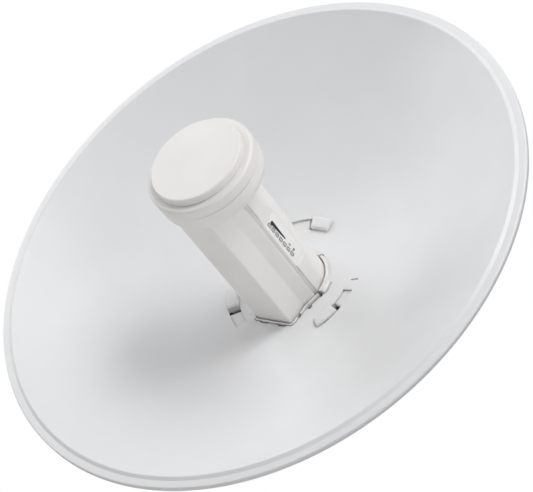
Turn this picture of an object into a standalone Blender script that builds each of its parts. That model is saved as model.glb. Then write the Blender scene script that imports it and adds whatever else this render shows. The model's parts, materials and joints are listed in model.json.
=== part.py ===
"""Wireless dish antenna on a tilting pole mount, in metres, +Z up.

The dish looks along -Y. The origin is the centre of the flat rear face of the pole plate.
"""

import math

import bmesh
import bpy
from mathutils import Matrix, Vector

# Driving dimensions
DISH_RADIUS = 0.210
FOCAL_LENGTH = 0.140
SHEET = 0.0012
CREST_RADIUS = 0.2013
FLANGE_HEIGHT = 0.0709
RIM_WALL = 0.0035
VERTEX_Y = -0.100
PIVOT_HEIGHT = -0.065
TILT_RANGE = math.radians(20)
GAP = 0.0003

# Feed, as heights along the boresight above the dish vertex
FEED_RADIUS = 0.025
FEED_FOOT = -0.028
FEED_TOP = 0.1195
STEP_HALF = 0.0263
STEP_LINE = -0.0066
NECK_HALF = 0.019
NECK_LINE = -0.019
BOX_HALF = 0.016
BOX_LINE = -0.035
HEAD_RADIUS = 0.0412
HEAD_SKIRT = 0.1257
HEAD_SEAM = 0.1393
HEAD_TOP = 0.1486
DISC_RADIUS = 0.0355
DISC_TOP = 0.1542

# Status panel on the feed's right side
PANEL_FLOOR = 0.0234
PANEL_LOW = 0.0332
PANEL_HIGH = 0.0895
PANEL_SLOPE = 0.0045
LENS_COUNT = 7
LENS_SIDE = 0.0034
LENS_PITCH = 0.0061
LENS_FIRST = 0.0442
LENS_LOW = -0.0038

# Bayonet lock through the dish, angles clockwise from 12 o'clock as seen from the front
LOCK_COUNT = 3
SLOT_INNER = 0.0455
SLOT_OUTER = 0.0547
SLOT_START = -29
SLOT_END = 6
LUG_START = -8.7
LUG_END = 11
LUG_RISE = 0.0023
NOTCH_START = -13.3
INDEX_ANGLE = 81.5
INDEX_INNER = 0.0492
INDEX_OUTER = 0.0559
INDEX_WIDTH = 0.0012

# Rear housing
HOUSING_RADIUS = 0.062
HOUSING_BACK = -0.036
RING_INNER = 0.0432
RING_OUTER = 0.060
RING_FLOOR = -0.0025

# Mount
STEEL = 0.0025
EAR_INNER = 0.0168
EAR_OUTER = 0.0188
FIXED_EAR_INNER = 0.0196
FIXED_EAR_OUTER = 0.0221
BOLT_RADIUS = 0.004
HEX_ACROSS = 0.013
HEAD_HEIGHT = 0.0065
NUT_HEIGHT = 0.0075
FLANGE_RADIUS = 0.0085
SLOT_RADIUS = 0.026
SCREW_SIDE = 0.011
SCREW_RISE = 0.036
GROUND_X = 0.0335
GROUND_Z = -0.026
PLATE_HALF_WIDTH = 0.040
PLATE_HALF_HEIGHT = 0.036
JAW_DEPTH = 0.012
U_BOLT_RADIUS = 0.003
U_BOLT_HALF = 0.0295
U_BOLT_CENTRE = 0.023
U_BOLT_LEG_END = -0.016

# Sides of the turned pieces
MEDIUM = 64
RING_STEPS = 90
FINE = 96


def clear_scene():
    for item in list(bpy.data.objects):
        bpy.data.objects.remove(item, do_unlink=True)


def make_collection(name):
    collection = bpy.data.collections.new(name)
    bpy.context.scene.collection.children.link(collection)
    return collection


def make_material(name, colour, roughness, metallic=0.0):
    material = bpy.data.materials.new(name)
    material.use_nodes = True
    shader = material.node_tree.nodes["Principled BSDF"]
    shader.inputs["Base Color"].default_value = (*colour, 1.0)
    shader.inputs["Roughness"].default_value = roughness
    shader.inputs["Metallic"].default_value = metallic
    return material


def make_empty(name, location, parent=None, turn=0.0):
    empty = bpy.data.objects.new(name, None)
    parts.objects.link(empty)
    empty.parent = parent
    empty.location = location
    empty.rotation_euler = (turn, 0.0, 0.0)
    return empty


def make_object(name, mesh, material=None, parent=None):
    """A named piece, or a hidden cutter when it is given no material."""
    item = bpy.data.objects.new(name, mesh)
    if material is None:
        cutters.objects.link(item)
        item.hide_render = True
        item.display_type = "WIRE"
    else:
        parts.objects.link(item)
        mesh.materials.append(material)
    item.parent = parent
    return item


def boolean(item, other, operation="DIFFERENCE"):
    modifier = item.modifiers.new(operation.lower() + "_" + other.name, "BOOLEAN")
    modifier.operation = operation
    modifier.solver = "EXACT"
    modifier.object = other
    return item


def bevel(item, width, segments=2):
    modifier = item.modifiers.new("rounded_edges", "BEVEL")
    modifier.width = width
    modifier.segments = segments
    modifier.limit_method = "ANGLE"
    modifier.angle_limit = math.radians(40)
    return item


def turned(name, profile, material=None, parent=None, steps=MEDIUM):
    """A profile of (radius, height) points turned about local Z, from the top down its outer side."""
    mesh = bpy.data.meshes.new(name)
    edges = [(i, i + 1) for i in range(len(profile) - 1)]
    mesh.from_pydata([(r, 0.0, z) for r, z in profile], edges, [])
    item = make_object(name, mesh, material, parent)
    screw = item.modifiers.new("turn", "SCREW")
    screw.steps = steps
    screw.render_steps = steps
    screw.use_merge_vertices = True
    screw.merge_threshold = 0.00001
    return item


def outline_mesh(name, loops, low, high):
    """A flat outline with holes, filled and thickened from low to high along local Z."""
    curve = bpy.data.curves.new(name, "CURVE")
    curve.dimensions = "2D"
    curve.fill_mode = "BOTH"
    curve.extrude = (high - low) / 2
    for loop in loops:
        spline = curve.splines.new("POLY")
        spline.points.add(len(loop) - 1)
        for point, (x, y) in zip(spline.points, loop):
            point.co = (x, y, 0.0, 1.0)
        spline.use_cyclic_u = True
    holder = bpy.data.objects.new(name + "_curve", curve)
    cutters.objects.link(holder)
    mesh = curve_to_mesh(holder)
    mesh.transform(Matrix.Translation((0.0, 0.0, (low + high) / 2)))
    return mesh


def curve_to_mesh(holder):
    """The evaluated mesh of a curve object with its loose caps welded. The curve is removed."""
    bpy.context.view_layer.update()
    graph = bpy.context.evaluated_depsgraph_get()
    mesh = bpy.data.meshes.new_from_object(holder.evaluated_get(graph))
    bpy.data.objects.remove(holder, do_unlink=True)
    shape = bmesh.new()
    shape.from_mesh(mesh)
    bmesh.ops.remove_doubles(shape, verts=shape.verts, dist=0.00001)
    shape.to_mesh(mesh)
    shape.free()
    return mesh


def extruded(name, loops, low, high, material=None, parent=None, axes=None):
    """An outline solid. The axes give the directions of its local X, Y and Z in the parent's frame."""
    mesh = outline_mesh(name, loops, low, high)
    if axes:
        mesh.transform(Matrix([Vector(axis) for axis in axes]).transposed().to_4x4())
    return make_object(name, mesh, material, parent)


def box(name, low, high, material=None, parent=None):
    shape = bmesh.new()
    size = [b - a for a, b in zip(low, high)]
    centre = [(a + b) / 2 for a, b in zip(low, high)]
    matrix = Matrix.Translation(centre) @ Matrix.Diagonal((*size, 1.0))
    bmesh.ops.create_cube(shape, size=1.0, matrix=matrix)
    mesh = bpy.data.meshes.new(name)
    shape.to_mesh(mesh)
    shape.free()
    return make_object(name, mesh, material, parent)


def rod(name, start, end, radius, material=None, parent=None, segments=24):
    """A straight cylinder between two points."""
    start, end = Vector(start), Vector(end)
    turn = Vector((0, 0, 1)).rotation_difference(end - start).to_matrix().to_4x4()
    matrix = Matrix.Translation((start + end) / 2) @ turn
    shape = bmesh.new()
    bmesh.ops.create_cone(
        shape, cap_ends=True, segments=segments, radius1=radius, radius2=radius,
        depth=(end - start).length, matrix=matrix,
    )
    mesh = bpy.data.meshes.new(name)
    shape.to_mesh(mesh)
    shape.free()
    return make_object(name, mesh, material, parent)


def circle(x, y, radius, count=24):
    angles = [2 * math.pi * i / count for i in range(count)]
    return [(x + radius * math.cos(a), y + radius * math.sin(a)) for a in angles]


def clock(radius, degrees):
    """A point at a clockwise angle from 12 o'clock."""
    angle = math.radians(degrees)
    return (radius * math.sin(angle), radius * math.cos(angle))


def sector(inner, outer, start, end, count=8):
    """A piece of a ring between two clockwise angles."""
    angles = [start + (end - start) * i / count for i in range(count + 1)]
    return [clock(outer, a) for a in angles] + [clock(inner, a) for a in reversed(angles)]


def rounded(points, radii, count=3):
    """An outline with each corner replaced by an arc of its radius. A radius of 0 leaves it sharp."""
    result = []
    for i, (corner, radius) in enumerate(zip(points, radii)):
        corner = Vector(corner)
        if not radius:
            result.append(tuple(corner))
            continue
        before = (Vector(points[i - 1]) - corner).normalized()
        after = (Vector(points[(i + 1) % len(points)]) - corner).normalized()
        half = before.angle(after) / 2
        centre = corner + (before + after).normalized() * radius / math.sin(half)
        first = corner + before * radius / math.tan(half) - centre
        last = corner + after * radius / math.tan(half) - centre
        sweep = first.angle_signed(last)
        for k in range(count + 1):
            spoke = first.copy()
            spoke.rotate(Matrix.Rotation(-sweep * k / count, 2))
            result.append(tuple(centre + spoke))
    return result


def grown(points, width):
    """A closed anticlockwise outline moved outwards by a width."""
    result = []
    for i, corner in enumerate(points):
        corner = Vector(corner)
        into = (corner - Vector(points[i - 1])).normalized()
        out = (Vector(points[(i + 1) % len(points)]) - corner).normalized()
        first = Vector((into.y, -into.x))
        second = Vector((out.y, -out.x))
        result.append(tuple(corner + (first + second) * width / (1 + first.dot(second))))
    return result


def bowl(radius):
    """Height of the dish's front surface, a paraboloid: radius squared over four focal lengths."""
    return radius * radius / (4 * FOCAL_LENGTH)


def smooth(item):
    if item.type == "MESH":
        item.data.shade_smooth()
        item.data.set_sharp_from_angle(angle=math.radians(35))


def cover_corners():
    """The five-sided box cover of the feed, anticlockwise from its right step corner."""
    right = [(STEP_HALF, STEP_LINE), (NECK_HALF, NECK_LINE), (BOX_HALF, BOX_LINE)]
    left = [(-x, y) for x, y in reversed(right)]
    return left[::-1] + right[::-1]


def feed_outline(width):
    """The outline that the feed fills in the hub, its box and the arc above it, grown by a width."""
    radius = math.hypot(STEP_HALF, STEP_LINE)
    start = math.atan2(STEP_LINE, STEP_HALF)
    count = 24
    angles = [start + (math.pi - 2 * start) * i / count for i in range(1, count)]
    arc = [(radius * math.cos(a), radius * math.sin(a)) for a in angles]
    return grown(cover_corners() + arc, width)


def make_dish(white, parent):
    inner = 0.020
    steps = 9
    radii = [inner + (CREST_RADIUS - inner) * i / steps for i in range(steps + 1)]
    face = [(r, bowl(r)) for r in radii]
    crest = bowl(CREST_RADIUS)
    rim = [
        (CREST_RADIUS + 0.0010, crest + 0.0001),
        (CREST_RADIUS + 0.0021, crest - 0.0006),
        (CREST_RADIUS + 0.0032, FLANGE_HEIGHT),
        (DISH_RADIUS - 0.0012, FLANGE_HEIGHT),
        (DISH_RADIUS - 0.0003, FLANGE_HEIGHT - 0.0004),
        (DISH_RADIUS, FLANGE_HEIGHT - 0.0012),
        (DISH_RADIUS, FLANGE_HEIGHT - RIM_WALL),
    ]
    dish = turned("dish_reflector", face + rim, white, parent, FINE)
    shell = dish.modifiers.new("sheet", "SOLIDIFY")
    shell.thickness = SHEET
    shell.offset = -1.0
    boolean(dish, extruded("cut_hub", [feed_outline(0.0023)], -0.01, 0.02, parent=parent))
    for k in range(LOCK_COUNT):
        turn = 360 / LOCK_COUNT * k
        slot = sector(SLOT_INNER, SLOT_OUTER, turn + SLOT_START, turn + SLOT_END)
        boolean(dish, extruded(f"cut_slot_{k + 1}", [slot], -0.01, 0.02, parent=parent))
    half = math.degrees(INDEX_WIDTH / 2 / INDEX_INNER)
    mark = sector(INDEX_INNER, INDEX_OUTER, INDEX_ANGLE - half, INDEX_ANGLE + half, 1)
    boolean(dish, extruded("cut_index", [mark], -0.01, 0.02, parent=parent))
    return dish


def make_lock_ring(plastic, parent):
    """A ring behind the sheet whose necks pass through the slots and end in lips over the sheet."""
    back = SHEET + 0.0004
    floor = RING_FLOOR
    inner, outer = RING_INNER, RING_OUTER
    middle = (inner + outer) / 2
    ring = turned("lock_ring", [
        (inner, bowl(inner) - back), (middle, bowl(middle) - back), (outer, bowl(outer) - back),
        (outer, floor), (inner, floor), (inner, bowl(inner) - back),
    ], plastic, parent, RING_STEPS)
    margin = 0.0004
    lip_low, lip_high = SLOT_INNER, SLOT_OUTER
    rise = LUG_RISE
    neck = turned("add_neck", [
        (lip_low + margin, bowl(lip_low) + rise / 2), (lip_high - margin, bowl(lip_high) + rise / 2),
        (lip_high - margin, 0.0005), (lip_low + margin, 0.0005), (lip_low + margin, bowl(lip_low) + rise / 2),
    ], parent=parent, steps=FINE)
    chamfer = 0.0008
    lip = turned("add_lip", [
        (lip_low, bowl(lip_low) + rise - chamfer), (lip_low + chamfer, bowl(lip_low) + rise),
        (lip_high - chamfer, bowl(lip_high) + rise), (lip_high, bowl(lip_high) + rise - chamfer),
        (lip_high, bowl(lip_high) + margin), (lip_low, bowl(lip_low) + margin),
        (lip_low, bowl(lip_low) + rise - chamfer),
    ], parent=parent, steps=FINE)
    turns = [360 / LOCK_COUNT * k for k in range(LOCK_COUNT)]
    wide, narrow = 0.070, 0.035
    early = LUG_START - 1.1
    neck_cut = [sector(narrow, wide, t + early, t + SLOT_END - 0.5) for t in turns]
    lip_cut = [sector(narrow, wide, t + early, t + LUG_END) for t in turns]
    low, high = SLOT_INNER - margin, SLOT_OUTER + margin
    notches = [sector(low, high, t + NOTCH_START, t + LUG_START) for t in turns]
    boolean(neck, extruded("keep_necks", neck_cut, -0.01, 0.02, parent=parent), "INTERSECT")
    boolean(lip, extruded("keep_lips", lip_cut, -0.01, 0.02, parent=parent), "INTERSECT")
    boolean(ring, neck, "UNION")
    boolean(ring, lip, "UNION")
    boolean(ring, extruded("cut_notches", notches, -0.01, 0.02, parent=parent))
    return ring


def make_collar(plastic, parent):
    loops = [feed_outline(0.0020), feed_outline(0.0006)]
    return extruded("housing_collar", loops, RING_FLOOR, 0.0042, plastic, parent)


def make_housing(plastic, parent):
    back = SHEET + 0.0006
    ring_in, ring_out = RING_INNER - 0.0004, RING_OUTER + 0.0004
    housing = turned("rear_housing", [
        (0.0, -0.0018), (0.030, bowl(0.030) - back), (ring_in, bowl(ring_in) - back),
        (ring_in, RING_FLOOR - GAP), (ring_out, RING_FLOOR - GAP), (ring_out, bowl(ring_out) - back),
        (HOUSING_RADIUS, bowl(HOUSING_RADIUS) - back), (HOUSING_RADIUS, -0.010),
        (HOUSING_RADIUS - 0.003, -0.013), (0.056, -0.024), (0.053, -0.031), (0.051, HOUSING_BACK + 0.0015),
        (0.048, HOUSING_BACK), (0.0, HOUSING_BACK),
    ], plastic, parent)
    seat = extruded("cut_collar_seat", [feed_outline(0.0023)], RING_FLOOR - GAP, 0.02, parent=parent)
    socket = extruded("cut_socket", [feed_outline(0.0006)], FEED_FOOT - GAP, 0.01, parent=parent)
    boolean(housing, seat)
    boolean(housing, socket)
    return housing


def make_seated_block(name, low, high, material, parent, housing, edge=0.0012):
    """A rounded block let into a pocket of the housing with a small gap around it."""
    block = box(name, low, high, material, parent)
    bevel(block, edge)
    pocket_low = [value - GAP for value in low]
    pocket_high = [value + GAP for value in high]
    boolean(housing, box("cut_" + name, pocket_low, pocket_high, parent=parent))
    return block


def make_feed_shell(plastic, parent):
    """The rounded half of the feed body, with a flat for the status panel on its right side."""
    line = STEP_LINE + GAP
    start = math.asin(line / FEED_RADIUS)
    count = 30
    angles = [start + (math.pi - 2 * start) * i / count for i in range(count + 1)]
    arc = [(FEED_RADIUS * math.cos(a), FEED_RADIUS * math.sin(a)) for a in angles]
    shell = extruded("feed_shell", [arc], FEED_FOOT, FEED_TOP, plastic, parent)
    pocket = [
        (PANEL_LOW, FEED_RADIUS + 0.0002), (PANEL_LOW, FEED_RADIUS + 0.003),
        (PANEL_HIGH, FEED_RADIUS + 0.003), (PANEL_HIGH, FEED_RADIUS + 0.0002),
        (PANEL_HIGH - PANEL_SLOPE, PANEL_FLOOR), (PANEL_LOW + PANEL_SLOPE, PANEL_FLOOR),
    ]
    cutter = extruded(
        "cut_panel", [pocket], -0.012, 0.012, parent=parent, axes=((0, 0, 1), (1, 0, 0), (0, 1, 0)),
    )
    boolean(shell, cutter)
    return shell


def make_feed_cover(plastic, parent):
    corners = cover_corners()
    outline = rounded(corners, [0.0006, 0.001, 0.0018, 0.0018, 0.001, 0.0006])
    cover = extruded("feed_cover", [outline], FEED_FOOT, HEAD_SKIRT + 0.002, plastic, parent)
    above = HEAD_SKIRT + 0.010
    skirt = [(radius, height - GAP) for radius, height in skirt_profile()]
    cutter = turned("cut_cover_top", [(0.0, above), (skirt[0][0], above), *skirt], parent=parent)
    return boolean(cover, cutter)


def skirt_profile():
    """The head's underside, a shallow cone from its rounded lower edge in to the feed body."""
    low = FEED_TOP + GAP
    return [
        (HEAD_RADIUS - 0.0011, HEAD_SKIRT + 0.0028), (HEAD_RADIUS - 0.0019, HEAD_SKIRT + 0.0009),
        (HEAD_RADIUS - 0.0032, HEAD_SKIRT), (FEED_RADIUS + 0.0015, low), (0.0, low),
    ]


def make_head(plastic, parent):
    radius = HEAD_RADIUS
    turned("feed_head_base", [
        (0.0, HEAD_SEAM - GAP), (radius - 0.0006, HEAD_SEAM - GAP), (radius - 0.0002, HEAD_SEAM - 0.0008),
        (radius - 0.0003, HEAD_SKIRT + 0.008), *skirt_profile(),
    ], plastic, parent)
    rim_edge = [clock(0.0022, 22.5 * i) for i in range(5)]
    centre = (radius - 0.0022, HEAD_TOP - 0.0022)
    turned("feed_cap_rim", [
        (0.0, HEAD_TOP), *[(centre[0] + x, centre[1] + y) for x, y in rim_edge],
        (radius, HEAD_SEAM + 0.0008), (radius - 0.0006, HEAD_SEAM + GAP / 2), (0.0, HEAD_SEAM + GAP / 2),
    ], plastic, parent)
    disc_edge = [clock(0.0012, 30 * i) for i in range(4)]
    centre = (DISC_RADIUS - 0.0012, DISC_TOP - 0.0012)
    turned("feed_cap_disc", [
        (0.0, DISC_TOP), *[(centre[0] + x, centre[1] + y) for x, y in disc_edge],
        (DISC_RADIUS, HEAD_TOP + GAP), (0.0, HEAD_TOP + GAP),
    ], plastic, parent)


def panel_corners(low, high, foot, top):
    """The corners of a plate that runs along the feed from low to high and across it from foot to top."""
    return [(low, foot), (high, foot), (high, top), (low, top)]


def panel_piece(name, points, layer, corner, material, parent):
    """A thin plate on the status flat, its corners given along the feed and across it."""
    outline = rounded(points, [corner] * 4)
    return extruded(
        name, [outline], layer[0], layer[1], material, parent, axes=((0, 0, 1), (0, 1, 0), (-1, 0, 0)),
    )


def make_panel(plastic, black, lens, parent):
    floor = PANEL_FLOOR + GAP
    plate = (-floor - 0.0004, -floor)
    above = (plate[0] - GAP - 0.0003, plate[0] - GAP)
    plain = panel_corners(0.0385, 0.0845, -0.0058, 0.0056)
    panel_piece("led_panel", plain, plate, 0.0012, plastic, parent)
    wedge = [(0.0620, 0.0010), (0.0818, -0.0003), (0.0818, 0.0026), (0.0620, 0.0021)]
    panel_piece("status_bar_window", wedge, above, 0.0004, black, parent)
    for k in range(LENS_COUNT):
        low = LENS_FIRST + LENS_PITCH * k
        square = panel_corners(low, low + LENS_SIDE, LENS_LOW, LENS_LOW + LENS_SIDE)
        panel_piece(f"led_lens_{k + 1}", square, above, 0.0009, lens, parent)
    button = panel_corners(0.0455, 0.0479, 0.0003, 0.0027)
    panel_piece("reset_button", button, above, 0.0008, black, parent)


def make_alignment_bracket(steel, parent):
    """A bent U of sheet steel: its web bolts to the housing and its ears turn on the pivot bolt."""
    front = HOUSING_BACK - GAP - PIVOT_HEIGHT
    web = front - 0.002
    back = -0.030
    bend = 0.003
    inner, outer = EAR_INNER, EAR_OUTER
    channel = rounded(
        [(-outer, back), (-inner, back), (-inner, web), (inner, web), (inner, back), (outer, back),
         (outer, front), (-outer, front)],
        [0, 0, bend - 0.002, bend - 0.002, 0, 0, bend, bend],
    )
    bracket = extruded(
        "alignment_bracket", [channel], -0.045, 0.045, steel, parent,
        axes=((1, 0, 0), (0, 0, 1), (0, -1, 0)),
    )
    side = rounded(
        [(front + 0.001, -0.046), (front + 0.001, 0.046), (web - 0.001, 0.046), (web - 0.004, 0.040),
         (0.008, 0.040), (-0.013, 0.036), (-0.018, 0.022), (-0.018, 0.0), (-0.013, -0.014),
         (0.0, -0.022), (web - 0.006, -0.026), (web - 0.001, -0.046)],
        [0, 0, 0.001, 0.002, 0.008, 0.006, 0.008, 0.008, 0.008, 0.01, 0.003, 0.001],
    )
    boolean(bracket, extruded(
        "keep_side", [side], -0.03, 0.03, parent=parent, axes=((0, 0, 1), (0, 1, 0), (-1, 0, 0)),
    ), "INTERSECT")
    hole = BOLT_RADIUS + 0.0003
    boolean(bracket, rod("cut_pivot", (-0.03, 0, 0), (0.03, 0, 0), hole, parent=parent))
    boolean(bracket, arc_slot("cut_arc_slot", hole, parent))
    for k, (x, y) in enumerate(screw_places()):
        start, end = (x, y, web - 0.002), (x, y, front + 0.002)
        boolean(bracket, rod(f"cut_web_{k + 1}", start, end, 0.0025, parent=parent))
    return bracket


def arc_slot(name, half_width, parent):
    """A curved slot about the pivot, straight above it, as long as the tilt needs."""
    count = 10
    reach = TILT_RANGE + math.radians(2)
    bends = [-reach + 2 * reach * i / count for i in range(count + 1)]
    outer = [((SLOT_RADIUS + half_width) * math.sin(b), (SLOT_RADIUS + half_width) * math.cos(b)) for b in bends]
    inner = [((SLOT_RADIUS - half_width) * math.sin(b), (SLOT_RADIUS - half_width) * math.cos(b)) for b in bends]
    loop = outer + slot_end(reach, half_width) + inner[::-1] + slot_end(-reach, half_width)
    return extruded(name, [loop], -0.03, 0.03, parent=parent, axes=((0, 0, 1), (0, 1, 0), (-1, 0, 0)))


def slot_end(bend, half_width):
    """The round end of the arc slot at one bend, as points between its two long sides."""
    centre = Vector((SLOT_RADIUS * math.sin(bend), SLOT_RADIUS * math.cos(bend)))
    outward = centre.normalized()
    along = Vector((outward.y, -outward.x)) * (1 if bend > 0 else -1)
    sign = 1 if bend > 0 else -1
    angles = [math.pi * i / 6 for i in range(1, 6)]
    return [
        tuple(centre + outward * half_width * math.cos(a) * sign + along * half_width * math.sin(a))
        for a in angles
    ]


def screw_places():
    return [(x, y) for x in (-SCREW_SIDE, SCREW_SIDE) for y in (-SCREW_RISE, SCREW_RISE)]


def make_screw(name, place, direction, head, shank, length, steel, parent):
    """A pan-head screw: its head stands on the place, on the side that the direction points to."""
    profile = [
        (0.0, 0.0026), (head * 0.55, 0.0026), (head * 0.85, 0.0021), (head, 0.0012), (head, 0.0),
        (shank, 0.0), (shank, -length), (0.0, -length),
    ]
    screw = turned(name, profile, steel, parent, 20)
    screw.location = place
    screw.rotation_mode = "QUATERNION"
    screw.rotation_quaternion = Vector((0, 0, 1)).rotation_difference(Vector(direction))
    recess = box("cut_cross_" + name, (-0.0022, -0.0005, 0.0012), (0.0022, 0.0005, 0.004), parent=screw)
    boolean(screw, recess)
    return screw


def make_pivot_channel(steel, parent):
    """The fixed U that stands on the pole plate, with ears outside those of the alignment bracket."""
    web_back = -VERTEX_Y + PIVOT_HEIGHT - STEEL - GAP
    web_front = web_back - STEEL
    front = -0.013
    inner, outer = FIXED_EAR_INNER, FIXED_EAR_OUTER
    channel = rounded(
        [(-outer, front), (-inner, front), (-inner, web_front), (inner, web_front), (inner, front),
         (outer, front), (outer, web_back), (-outer, web_back)],
        [0, 0, 0.001, 0.001, 0, 0, 0.0035, 0.0035],
    )
    item = extruded("pivot_channel", [channel], -0.030, 0.036, steel, parent)
    side = rounded(
        [(web_back + 0.001, -0.031), (web_back + 0.001, 0.037), (-0.004, 0.037), (-0.012, 0.030),
         (-0.012, -0.008), (-0.006, -0.013), (0.010, -0.020), (0.022, -0.031)],
        [0, 0, 0.008, 0.006, 0.006, 0.006, 0.01, 0.006],
    )
    boolean(item, extruded(
        "keep_channel_side", [side], -0.03, 0.03, parent=parent, axes=((0, 1, 0), (0, 0, 1), (1, 0, 0)),
    ), "INTERSECT")
    hole = BOLT_RADIUS + 0.0002
    for name, height in (("cut_fixed_pivot", 0.0), ("cut_fixed_lock", SLOT_RADIUS)):
        boolean(item, rod(name, (-0.03, 0, height), (0.03, 0, height), hole, parent=parent))
    return item


def make_pole_plate(steel):
    """The plate on the pole, with its top and bottom edges bent back into notched jaws."""
    high = PLATE_HALF_HEIGHT
    low = high - STEEL
    section = rounded(
        [(JAW_DEPTH, -high), (JAW_DEPTH, -low), (0.0, -low), (0.0, low), (JAW_DEPTH, low),
         (JAW_DEPTH, high), (-STEEL, high), (-STEEL, -high)],
        [0, 0, 0, 0, 0, 0, 0.003, 0.003],
    )
    half = PLATE_HALF_WIDTH
    plate = extruded("pole_plate", [section], -half, half, steel, axes=((0, 1, 0), (0, 0, 1), (1, 0, 0)))
    notch_foot = 0.002
    spread = (JAW_DEPTH + 0.002 - notch_foot) * math.tan(math.radians(58))
    notch = [(0.0, notch_foot), (spread, JAW_DEPTH + 0.002), (-spread, JAW_DEPTH + 0.002)]
    boolean(plate, extruded("cut_pole_notch", [notch], -0.06, 0.06))
    for k, side in enumerate((-1, 1)):
        corner = [
            (side * (half + 0.001), 0.006), (side * (half + 0.001), JAW_DEPTH + 0.001),
            (side * (half - 0.009), JAW_DEPTH + 0.001),
        ]
        boolean(plate, extruded(f"cut_jaw_corner_{k + 1}", [corner], -0.06, 0.06))
        x = side * U_BOLT_HALF
        boolean(plate, rod(f"cut_leg_{k + 1}", (x, -0.01, 0), (x, 0.01, 0), U_BOLT_RADIUS + 0.0004))
    ground = rod("cut_ground", (GROUND_X, -0.01, GROUND_Z), (GROUND_X, 0.01, GROUND_Z), 0.0024)
    boolean(plate, ground)
    return plate


def make_u_bolt(steel):
    curve = bpy.data.curves.new("u_bolt", "CURVE")
    curve.dimensions = "3D"
    curve.bevel_depth = U_BOLT_RADIUS
    curve.bevel_resolution = 3
    curve.use_fill_caps = True
    count = 20
    angles = [math.pi * i / count for i in range(count + 1)]
    arc = [(U_BOLT_HALF * math.cos(a), U_BOLT_CENTRE + U_BOLT_HALF * math.sin(a)) for a in angles]
    route = [(U_BOLT_HALF, U_BOLT_LEG_END), *arc, (-U_BOLT_HALF, U_BOLT_LEG_END)]
    spline = curve.splines.new("POLY")
    spline.points.add(len(route) - 1)
    for point, (x, y) in zip(spline.points, route):
        point.co = (x, y, 0.0, 1.0)
    holder = bpy.data.objects.new("u_bolt_curve", curve)
    cutters.objects.link(holder)
    return make_object("u_bolt", curve_to_mesh(holder), steel)


def hexagon(across, turn=0.2):
    radius = across / 2 / math.cos(math.pi / 6)
    angles = [turn + math.pi / 3 * i for i in range(6)]
    return [(radius * math.cos(a), radius * math.sin(a)) for a in angles]


def place_along(item, place, direction):
    item.location = place
    item.rotation_mode = "QUATERNION"
    item.rotation_quaternion = Vector((0, 0, 1)).rotation_difference(Vector(direction))
    return item


def make_nut(name, place, direction, radius, steel, parent=None):
    """A hexagon flange nut for a bolt of a radius. Its flange stands on the place and it rises from it."""
    size = radius / BOLT_RADIUS
    nut = extruded(name, [hexagon(HEX_ACROSS * size)], 0.0, NUT_HEIGHT * size, steel, parent)
    disc = [circle(0.0, 0.0, FLANGE_RADIUS * size)]
    boolean(nut, extruded("add_flange_" + name, disc, -0.0002, 0.0015, parent=nut), "UNION")
    boolean(nut, rod("cut_hole_" + name, (0, 0, -0.002), (0, 0, 0.01), radius + GAP, parent=nut))
    return place_along(nut, place, direction)


def make_bolt(name, place, direction, length, steel, parent=None):
    """A hexagon flange bolt: its flange stands on the place, its shank runs against the direction."""
    bolt = extruded(name, [hexagon(HEX_ACROSS)], 0.0, HEAD_HEIGHT, steel, parent)
    disc = [circle(0.0, 0.0, FLANGE_RADIUS)]
    flange = extruded("add_flange_" + name, disc, -0.0002, 0.0015, parent=bolt)
    shank = rod("add_shank_" + name, (0, 0, -length), (0, 0, 0.001), BOLT_RADIUS - 0.0001, parent=bolt)
    boolean(bolt, flange, "UNION")
    boolean(bolt, shank, "UNION")
    return place_along(bolt, place, direction)


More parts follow.
